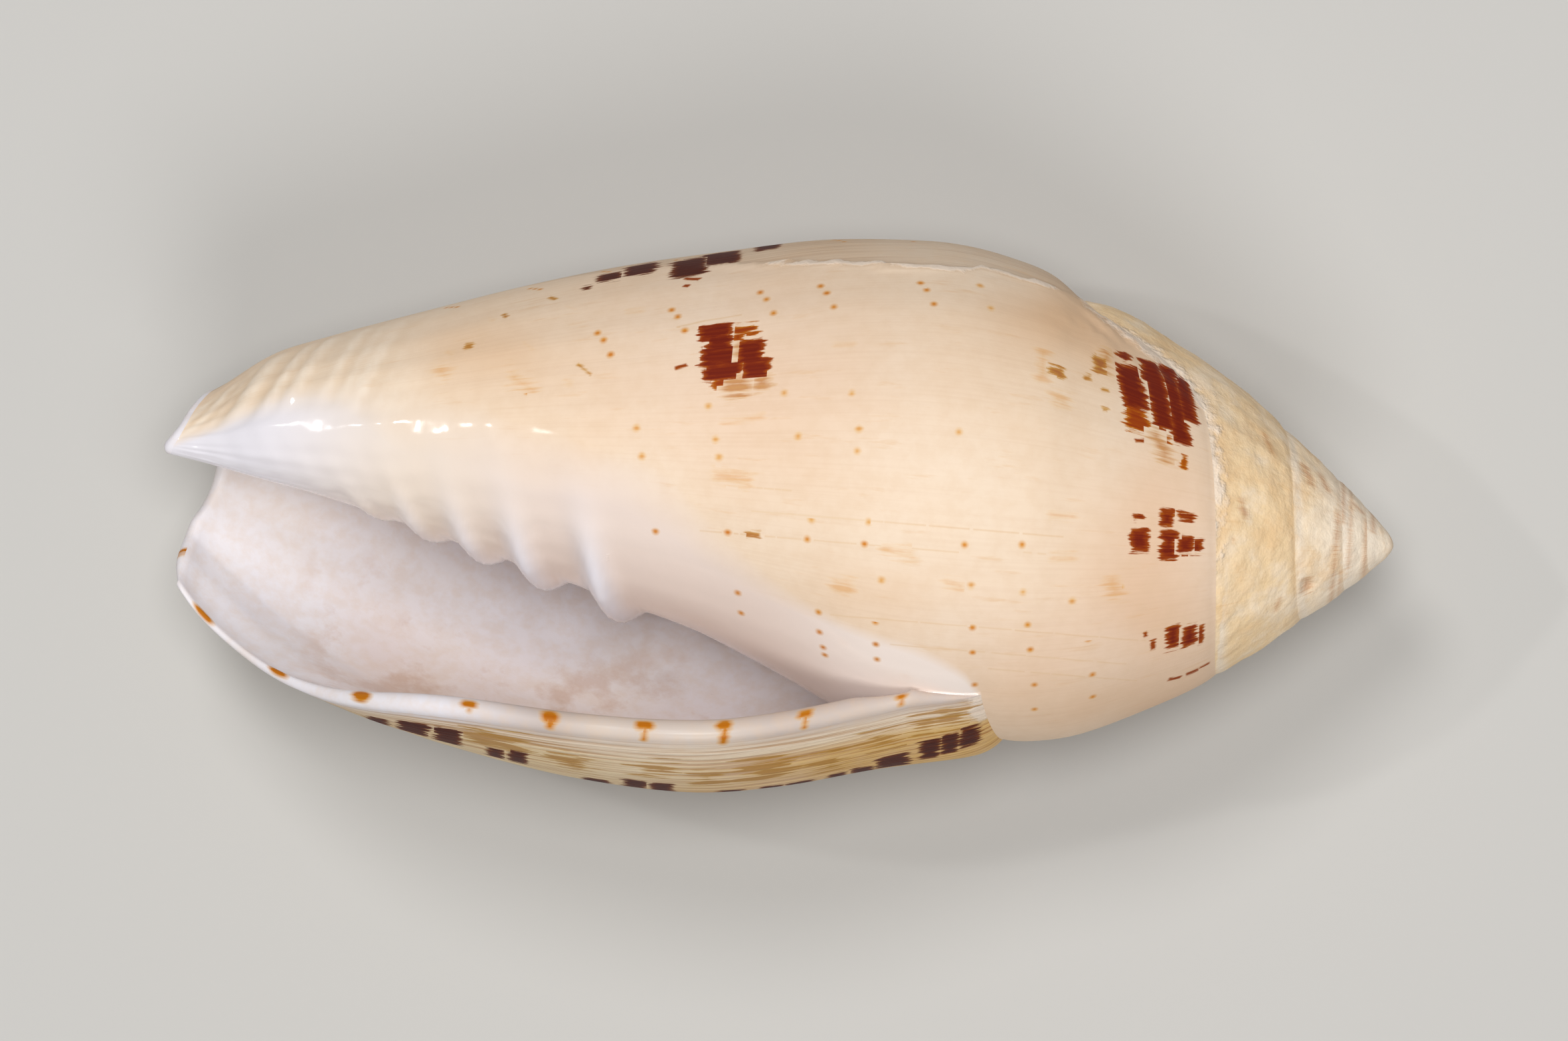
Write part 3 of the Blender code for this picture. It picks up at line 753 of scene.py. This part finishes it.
def in_mark(mark, back, down):
    """Mm along and across a mark from its middle, then its half length, half width and rounding."""
    down_1, back_1, down_2, back_2, wide, kind = mark
    rounded = KINDS[kind][2]
    middle_back, middle_down = (back_1 + back_2) / 2, (down_1 + down_2) / 2
    per_degree = float(radius(max(middle_back, 0), middle_down)) * math.pi / 180
    run, fall = (back_2 - back_1) * per_degree, down_2 - down_1
    long = math.hypot(run, fall)
    along, aside = (run / long, fall / long) if long > 0 else (1, 0)
    right, under = (back - middle_back) * per_degree, down - middle_down
    round_off = rounded * wide / 2
    half_long = max(long / 2 - round_off * (rounded < 1), 0)
    x, y = right * along + under * aside, under * along - right * aside
    return x, y, half_long, wide / 2 - round_off, round_off


def nearest_marks(corners):
    """What the material reads of the mark nearest to each face: the place in it, its size and its looks."""
    back, down = corners.face_mean(corners.back), corners.face_mean(corners.down)
    nearest = np.full(len(back), 1e9)
    chosen = np.zeros(len(back), int)
    marks = all_marks()
    for index, mark in enumerate(marks):
        x, y, half_long, half_wide, round_off = in_mark(mark, back, down)
        outside = np.hypot(np.maximum(abs(x) - half_long, 0), np.maximum(abs(y) - half_wide, 0)) - round_off
        closer = outside < nearest
        nearest[closer], chosen[closer] = outside[closer], index
    order = np.argsort(chosen[corners.face], kind="stable")
    starts = np.searchsorted(chosen[corners.face][order], np.arange(len(marks) + 1))
    place, size, edge = np.zeros((3, len(order), 3))
    colour = np.zeros((len(order), 4))
    for index, mark in enumerate(marks):
        here = order[starts[index]:starts[index + 1]]
        x, y, half_long, half_wide, round_off = in_mark(mark, corners.back[here], corners.down[here])
        hex_colour, strength, _, ragged, soft, drawn = KINDS[mark[-1]]
        place[here] = np.stack([x, y, 0 * x], axis=-1)
        size[here] = (half_long, half_wide, round_off)
        share = min(mark[4] / 0.5, 1)
        edge[here] = (ragged * share, soft, drawn * share)
        colour[here] = (*linear(hex_colour)[:3], strength)
    return place, size, edge, colour


def from_suture(back, down):
    """Mm below the suture above this whorl, square to it."""
    slope = (suture(back + 1) - suture(back - 1)) / 2 / (np.maximum(radius(back, down), 1) * math.pi / 180)
    return (down - suture(back)) / np.sqrt(1 + slope**2)


def mix(under, over, share):
    return under + (np.array(linear(over)) - under) * np.clip(share, 0, 1)[:, None]


def soft_patches(at, patches):
    """How strong these patches are at each corner."""
    total = 0
    for strength, down, across, down_size, across_size in patches:
        far = ((at.ahead - down) / down_size) ** 2 + ((at.across - across) / across_size) ** 2
        total = total + strength * np.exp(-far) * (at.towards > -1) * at.outside
    return total


def skin_colour(at):
    """The skin under its marks and glaze, from the apex to the front rim."""
    back, down = at.back, at.down
    skin = np.array(linear(CREAM)) + np.zeros((len(back), 1))
    skin = mix(skin, PEACH, 0.3 + soft_patches(at, PEACH_PATCHES))
    skin = mix(skin, OCHRE, soft_patches(at, OCHRE_PATCHES))
    skin = mix(skin, NEWER, 0.6 * at.newer)
    skin = mix(skin, STRAW, 0.85 * at.straw)
    skin = mix(skin, STRAW_GOLD, 0.7 * at.straw * ease((30 - down) / 6) * ease((back - 4) / 8))
    skin = mix(skin, SPIRE_CREAM, at.spire)
    skin = mix(skin, SPIRE_CHALK, at.spire * ease((4.6 - down) / 2.5))
    # Along the upper spire's sutures: a pale line just above each suture is a painted highlight on the edge
    # of the step, and a tan line just below it is painted shade in the groove.
    skin = mix(skin, WARM_WHITE, 0.7 * at.spire * bell(at.over_suture - 0.2, 0.22) * (down < 6.8))
    skin = mix(skin, SUTURE_SHADE_TAN, 0.22 * at.spire * bell(at.under_suture - 0.05, 0.14) * (down < 7.2))
    notch_zone = at.last * ease((back - 205) / 15) * ease((290 - back) / 12) * ease((down - 38.5) / 4)
    ridges = ease(0.5 + 0.9 * notch_waves(back, down))
    skin = mix(skin, NOTCH_PALE, 0.6 * notch_zone)
    skin = mix(skin, NOTCH_TAN, 0.5 * notch_zone * (1 - ridges))
    skin = mix(skin, LIP_CREAM, np.where(at.last, 0.8 * (1 - ease((at.from_edge - 0.8) / 1.4)), 0))
    # The rim's white is greyed here: painted shade where the rounded rim faces the lamps.
    skin = mix(skin, RIM_SHADED_WHITE, at.rim)
    return mix(skin, FRONT_GLAZE, at.rim * ease((down - 33) / 6))


def line_the_hollow(at, skin):
    """The same with the white wall of the hollow, brighter deep inside as painted light, and its tan stain
    inside the lip.
    """
    deep = np.where(at.inward, ease((at.back - 400) / 110), ease((-at.back - LIP_ARC) / 150))
    # Deep in the hollow the wall turns a brighter white, painted light that makes up for the shade there.
    white = mix(mix(skin, HOLLOW_WHITE, at.hollow), DEEP_HOLLOW_LIT, deep)
    skin = np.where(at.hollow[:, None], white, skin)
    stain = at.beside_lip * ease((44 - at.down) / 4) * (1 - ease((-at.back - 55) / 45))
    return mix(skin, TAN_STAIN, 0.55 * stain)


def glaze_over(at):
    """How thick the glaze lies, from -1 or less where there is none up to 3, and its colour."""
    back, down = at.back, at.down
    past_edge = (back - callus_edge(down)) * at.mm_a_degree
    past_edge = np.where(at.outside & (back > 236) & (down > CORNER), past_edge, -3)
    front = np.where(at.outside, ease((past_edge - 0.1) / (0.3 + 0.3 * at.reach)), 1)
    # The fold crests take the bluish white front glaze: partly the folds' own white glaze, partly a painted
    # highlight on the crests.
    front = np.maximum(ease((down - 39) / 8) * front, 1.6 * folds(np.maximum(back, 0), down))
    colour = np.array(linear(GLAZE)) + np.zeros((len(back), 1))
    colour = mix(colour, CREAM_GLAZE, ease((down - 33) / 8))
    colour = mix(colour, FRONT_GLAZE, front)
    colour = mix(colour, CORNER_GLAZE, 0.8 * ease((26 - down) / 6))
    spread = 0.4 + 1.1 * ease((44.5 - down) / 5) * ease((down - 22) / 8)
    return np.where(at.hollow, 3, np.where(at.edges, -0.3, past_edge / spread)), colour


def crust_on(at):
    """Where pale crust lies: beside the suture, at the end of the lip and along the healed break."""
    back, down = at.back, at.down
    crust = np.where(at.last, 1.2 - at.under_suture, 0) * ease((266 - back) / 10) * ease((back - 228) / 6)
    beside = at.outside * at.inward * ease((back - 590) / 15) * ease((705 - back) / 60)
    crust = np.where(beside > 0, (0.9 - at.over_suture) * beside, crust)
    lip_end = at.last * ease((14 - back) / 6) * (1.5 - 1.6 * at.under_suture)
    off_break = (back - break_line(down)) * at.mm_a_degree
    old_edge = at.last * ease((down - 13.6) / 1.5) * ease((27.5 - down) / 3)
    old_edge = old_edge * (1.6 - 5 * abs(off_break - 0.12))
    return np.maximum(np.maximum(crust, lip_end), old_edge)


# What paint keeps at each corner, for the material to read.
PAINTED = (
    "skin", "zone", "glaze_colour", "coat", "patches", "mark_place", "mark_size", "mark_edge", "mark_colour",
)


def paint(mesh, move):
    """Works out colours, zones and the nearest mark at each corner, and keeps them in the mesh."""
    at = Corners(mesh, move)
    glaze, glaze_colour = glaze_over(at)
    lines = 0.06 + 0.25 * at.newer + 0.55 * at.straw - 0.04 * at.spire
    lines = np.where(at.outside, lines, 0) * (1 - ease(glaze / 0.5 + 0.5))
    lines = lines * (1 - 0.7 * np.clip(at.rim, 0, 1))
    rough = np.where(at.hollow, 0.45, 0.6 + 0.1 * at.spire - 0.2 * at.rim)
    whitened = at.outside + at.hollow * at.inward * (1 - ease((at.back - 450) / 90))
    stained = at.beside_lip * ease((110 + at.back) / 40) * ease((45 - at.down) / 3)
    place, size, edge, mark_colour = nearest_marks(at)
    mark_colour[:, 3] *= ~(at.hollow & (abs(at.back) > 45))
    skin = line_the_hollow(at, skin_colour(at))
    zone = np.stack([lines, rough, at.spire], axis=-1)
    coat = np.stack([glaze, whitened, at.outside], axis=-1)
    patches = np.stack([crust_on(at), stained, np.zeros(len(lines))], axis=-1)
    layers = (skin, zone, glaze_colour, coat, patches, place, size, edge, mark_colour)
    for name, values in zip(PAINTED, layers):
        kind, field = ("FLOAT_COLOR", "color") if values.shape[1] == 4 else ("FLOAT_VECTOR", "vector")
        layer = mesh.attributes.new(name, kind, "CORNER")
        layer.data.foreach_set(field, np.asarray(values, np.float32).ravel())


def add_node(tree, kind, settings=None, **inputs):
    """Adds a node with these settings, sets or links its inputs by name or number, returns its outputs."""
    node = tree.nodes.new(kind)
    for name, value in (settings or {}).items():
        setattr(node, name, value)
    for name, value in inputs.items():
        key = int(name[1:]) if name[0] == "_" else name.replace("_", " ")
        socket = node.inputs[key]
        if isinstance(value, bpy.types.NodeSocket):
            tree.links.new(value, socket)
        else:
            socket.default_value = value
    return node.outputs


# Noise on the coil: lumps to a degree back, which is about 0.18 mm, and to a mm down, then detail and
# roughness. The growth lines are drawn 0.2 mm apart. The finest real ones are too fine to show.
COIL_NOISE = {
    "lines": (1.1, 0.1, 3.0, 0.6),
    "smudges": (0.4, 0.35, 4.0, 0.6),
    "ragged": (0.9, 0.7, 4.0, 0.62),
    "streaks": (0.9, 0.25, 1.5, 0.5),
}
# Noise through the shell: lumps to a mm, then detail and roughness. Clouds are 8 mm wide, mottle 2 mm.
# Flakes are 0.7 mm, coarser than the real grain, which is too fine to show.
SHELL_NOISE = {"clouds": (0.12, 2.0, 0.5), "mottle": (0.56, 5.0, 0.6), "flakes": (1.5, 3.0, 0.6)}


def shell_material():
    """Aragonite that the animal laid down in fine layers and sand has worn.

    The outside is dull, the callus and the hollow shine under a thin glaze, and the spire is chalky.
    """
    material = bpy.data.materials.new("aragonite shell")
    material.use_nodes = True
    surface = material.node_tree.nodes["Principled BSDF"]
    node = partial(add_node, material.node_tree)
    maths, vectors, split = "ShaderNodeMath", "ShaderNodeVectorMath", "ShaderNodeSeparateXYZ"
    noise, limits, colours = "ShaderNodeTexNoise", "ShaderNodeMapRange", "ShaderNodeMix"
    blend, darken = {"data_type": "RGBA"}, {"data_type": "RGBA", "blend_type": "MULTIPLY"}
    times, plus, less, times_plus = [
        {"operation": name} for name in ("MULTIPLY", "ADD", "SUBTRACT", "MULTIPLY_ADD")
    ]
    painted = {}
    for name in PAINTED:
        painted[name] = node("ShaderNodeAttribute", {"attribute_name": name})
    zone = node(split, Vector=painted["zone"]["Vector"])
    coat = node(split, Vector=painted["coat"]["Vector"])
    patches = node(split, Vector=painted["patches"]["Vector"])

    coil = node("ShaderNodeUVMap", {"uv_map": "coil"})[0]
    place = node("ShaderNodeTexCoord")["Object"]
    noises = {}
    for name, (a_degree, a_mm, detail, roughness) in COIL_NOISE.items():
        stretched = node(vectors, times, _0=coil, _1=(a_degree, a_mm, 0))[0]
        noises[name] = node(noise, Vector=stretched, Scale=1.0, Detail=detail, Roughness=roughness)["Fac"]
    for name, (a_mm, detail, roughness) in SHELL_NOISE.items():
        noises[name] = node(noise, Vector=place, Scale=a_mm / MM, Detail=detail, Roughness=roughness)["Fac"]
    lines, clouds, mottle, flakes = [noises[name] for name in ("lines", "clouds", "mottle", "flakes")]

    line_depth = node(limits, Value=lines, From_Min=0.54, From_Max=0.36)[0]
    line_depth = node(maths, times, _0=line_depth, _1=zone[0])[0]
    skin = node(colours, darken, _0=line_depth, _6=painted["skin"]["Color"], _7=linear(LINE_TAN))[2]
    # Washes of colour: a pattern, where the wash starts and is full, its strength, its place and colour.
    # Clouds, smudges and grain lie all over, chalk and tan on the worn spire, ochre under the crust.
    washes = (
        (clouds, 0.42, 0.66, 0.3, 1.0, WARM_WHITE),
        (noises["smudges"], 0.6, 0.76, 0.45, coat[2], SMUDGE_OCHRE),
        (flakes, 0.4, 0.66, 0.22, 1.0, GRAIN_TAN),
        (mottle, 0.48, 0.64, 0.6, zone[2], SPIRE_CHALK),
        (mottle, 0.46, 0.36, 0.4, zone[2], SPIRE_TAN),
        (patches[0], 0.0, 0.7, 0.35, 1.0, CRUST_OCHRE),
    )
    for pattern, start, full, strength, where, colour in washes:
        share = node(limits, Value=pattern, From_Min=start, From_Max=full, To_Max=strength)[0]
        share = node(maths, times, _0=share, _1=where)[0]
        skin = node(colours, blend, _0=share, _6=skin, _7=linear(colour))[2]

    # The ragged pale crust beside the suture and along the healed break.
    crust = node(maths, times_plus, _0=flakes, _1=1.6, _2=patches[0])[0]
    crust = node(limits, Value=crust, From_Min=1.2, From_Max=1.6, To_Max=0.65)[0]
    skin = node(colours, blend, _0=crust, _6=skin, _7=linear(CRUST))[2]

    # The glaze of the callus covers the skin, pinkish behind and bluish white in front.
    glaze = node(maths, times_plus, _0=clouds, _1=1.8, _2=coat[0])[0]
    glazed = node(limits, Value=glaze, From_Min=0.7, From_Max=2.3)[0]
    white = node(maths, times, _0=glazed, _1=coat[1])[0]
    skin = node(colours, blend, _0=white, _6=skin, _7=painted["glaze_colour"]["Color"])[2]
    stained = node(maths, plus, _0=clouds, _1=mottle)[0]
    stained = node(limits, Value=stained, From_Min=1.04, From_Max=1.2, To_Max=0.55)[0]
    stained = node(maths, times, _0=stained, _1=patches[1])[0]
    skin = node(colours, blend, _0=stained, _6=skin, _7=linear(SPECK_TAN))[2]

    # Each mark is a rounded bar, darkest in its middle, with its outline frayed along the growth lines.
    mark_place, mark_size = painted["mark_place"]["Vector"], painted["mark_size"]["Vector"]
    edge = node(split, Vector=painted["mark_edge"]["Vector"])
    round_off = node(split, Vector=mark_size)[2]
    beyond = node(vectors, {"operation": "ABSOLUTE"}, _0=mark_place)[0]
    beyond = node(vectors, less, _0=beyond, _1=mark_size)[0]
    sides = node(split, Vector=beyond)
    depth = node(maths, {"operation": "MAXIMUM"}, _0=sides[0], _1=sides[1])[0]
    depth = node(maths, {"operation": "MINIMUM"}, _0=depth, _1=0.0)[0]
    beyond = node(vectors, {"operation": "MAXIMUM"}, _0=beyond, _1=(0, 0, 0))[0]
    beyond = node(vectors, times, _0=beyond, _1=(1, 1, 0))[0]
    beyond = node(vectors, {"operation": "LENGTH"}, _0=beyond)["Value"]
    inside = node(maths, less, _0=round_off, _1=beyond)[0]
    inside = node(maths, less, _0=inside, _1=depth)[0]
    wander = node(maths, less, _0=noises["ragged"], _1=0.43)[0]
    inside = node(maths, times_plus, _0=wander, _1=edge[0], _2=inside)[0]
    streaks = node(maths, less, _0=noises["streaks"], _1=0.52)[0]
    inside = node(maths, times_plus, _0=streaks, _1=edge[2], _2=inside)[0]
    covered = node(limits, Value=inside, From_Min=-0.03, From_Max=edge[1])[0]
    covered = node(maths, times, _0=covered, _1=painted["mark_colour"]["Alpha"])[0]
    darkness = node(limits, Value=inside, From_Min=0.0, From_Max=0.3, To_Min=0.2, To_Max=0.75)[0]
    darkness = node(maths, times_plus, _0=lines, _1=0.8, _2=darkness)[0]
    mark_colour = node("ShaderNodeGamma", Color=painted["mark_colour"]["Color"], Gamma=darkness)[0]
    skin = node(colours, blend, _0=covered, _6=skin, _7=mark_colour)[2]
    surface_links = {"Base Color": skin, "Coat Weight": glazed}

    surface_links["Roughness"] = node(maths, times_plus, _0=mottle, _1=0.12, _2=zone[1])[0]
    height = node(maths, times, _0=lines, _1=zone[0])[0]
    chalk = node(maths, plus, _0=zone[2], _1=crust)[0]
    chalk = node(maths, plus, _0=chalk, _1=0.12)[0]
    height = node(maths, times_plus, _0=flakes, _1=chalk, _2=height)[0]
    surface_links["Normal"] = node("ShaderNodeBump", Height=height, Distance=0.0001, Strength=1.0)[0]
    for name, value in surface_links.items():
        material.node_tree.links.new(value, surface.inputs[name])
    surface.inputs["IOR"].default_value = 1.53
    surface.inputs["Specular IOR Level"].default_value = 0.2
    surface.inputs["Coat Roughness"].default_value = 0.1
    surface.inputs["Coat IOR"].default_value = 1.6
    return material


def make_shell():
    bm = bmesh.new()
    grow_shell(bm)
    bmesh.ops.rotate(bm, verts=bm.verts, cent=(0, 0, 0), matrix=lean)
    wear_rest_spot(bm)
    move = fit_to_frame(bm)
    mesh = bpy.data.meshes.new("grown shell")
    bm.to_mesh(mesh)
    bm.free()
    mesh.shade_smooth()
    paint(mesh, move)
    mesh.materials.append(shell_material())
    shell = bpy.data.objects.new("grown_shell", mesh)
    bpy.context.scene.collection.objects.link(shell)
    return shell, move


def make_floor():
    """Matt paper. It scatters the light, so the shell's shadow on it is soft and nothing is mirrored."""
    bpy.ops.mesh.primitive_plane_add(size=4)
    floor = bpy.context.object
    floor.name = "floor"
    paper = bpy.data.materials.new("matt white paper")
    paper.use_nodes = True
    surface = paper.node_tree.nodes["Principled BSDF"]
    surface.inputs["Base Color"].default_value = linear(FLOOR_GREY)
    surface.inputs["Roughness"].default_value = 0.9
    floor.data.materials.append(paper)


PHOTO_WIDTH, PHOTO_HEIGHT = 2361, 1568  # pixels
APEX_PIXEL = (2098, 822)  # where the apex is in the photograph
AXIS_TILT = 4.75  # how far the coil axis drops to the right in the photograph, degrees
MM_A_PIXEL = LENGTH / 1858.4  # the shell is 1858.4 pixels long there
LENS, SENSOR = 500.0, 36.0  # focal length and sensor width, mm


def make_camera(move):
    """A camera that looks straight at the aperture side, with the apex to the right as in the photograph."""
    data = bpy.data.cameras.new("camera")
    data.lens = LENS
    data.sensor_width = SENSOR
    camera = bpy.data.objects.new("camera", data)
    bpy.context.scene.collection.objects.link(camera)
    tilt = math.radians(AXIS_TILT)
    to_right = (PHOTO_WIDTH / 2 - APEX_PIXEL[0]) * MM_A_PIXEL
    upwards = (APEX_PIXEL[1] - PHOTO_HEIGHT / 2) * MM_A_PIXEL
    centre = Matrix.Rotation(tilt, 3, "Z") @ Vector((to_right, upwards, 0))
    distance = PHOTO_WIDTH * MM_A_PIXEL * LENS / SENSOR
    turn = lean @ Matrix.Rotation(tilt, 3, "Z")
    place = move @ (lean @ centre) + turn @ Vector((0, 0, distance)) * MM
    camera.matrix_world = Matrix.Translation(place) @ turn.to_4x4()
    bpy.context.scene.camera = camera


# Each lamp's place in metres, its width in metres and its power in watts.
LAMPS = {
    "front softbox": ((0.05, 0.06, 1.0), 0.3, 4.2),
    "upper softbox": ((-0.14, 0.34, 0.8), 0.25, 2.1),
    "small key lamp": ((-0.26, 0.06, 0.40), 0.02, 0.17),
    "low softbox": ((0.12, -0.33, 0.5), 0.3, 1.15),
}
AIM = Vector((0, 0, 0.01))  # what the lamps point at, the middle of the shell, in metres
FILL_LIGHT = 0.12  # light from all round


def light_studio():
    world = bpy.data.worlds.new("studio")
    bpy.context.scene.world = world
    world.use_nodes = True
    sky = world.node_tree.nodes["Background"]
    sky.inputs["Color"].default_value = (1, 1, 1, 1)
    sky.inputs["Strength"].default_value = FILL_LIGHT
    for name, (place, width, power) in LAMPS.items():
        data = bpy.data.lights.new(name, "AREA")
        data.shape = "DISK"
        data.size = width
        data.energy = power
        lamp = bpy.data.objects.new(name, data)
        lamp.location = place
        lamp.rotation_euler = (Vector(place) - AIM).to_track_quat("Z", "Y").to_euler()
        bpy.context.scene.collection.objects.link(lamp)


shell, move = make_shell()
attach(shell, "root")
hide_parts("shell")
make_floor()
make_camera(move)
light_studio()
bpy.context.scene.view_settings.view_transform = "Standard"
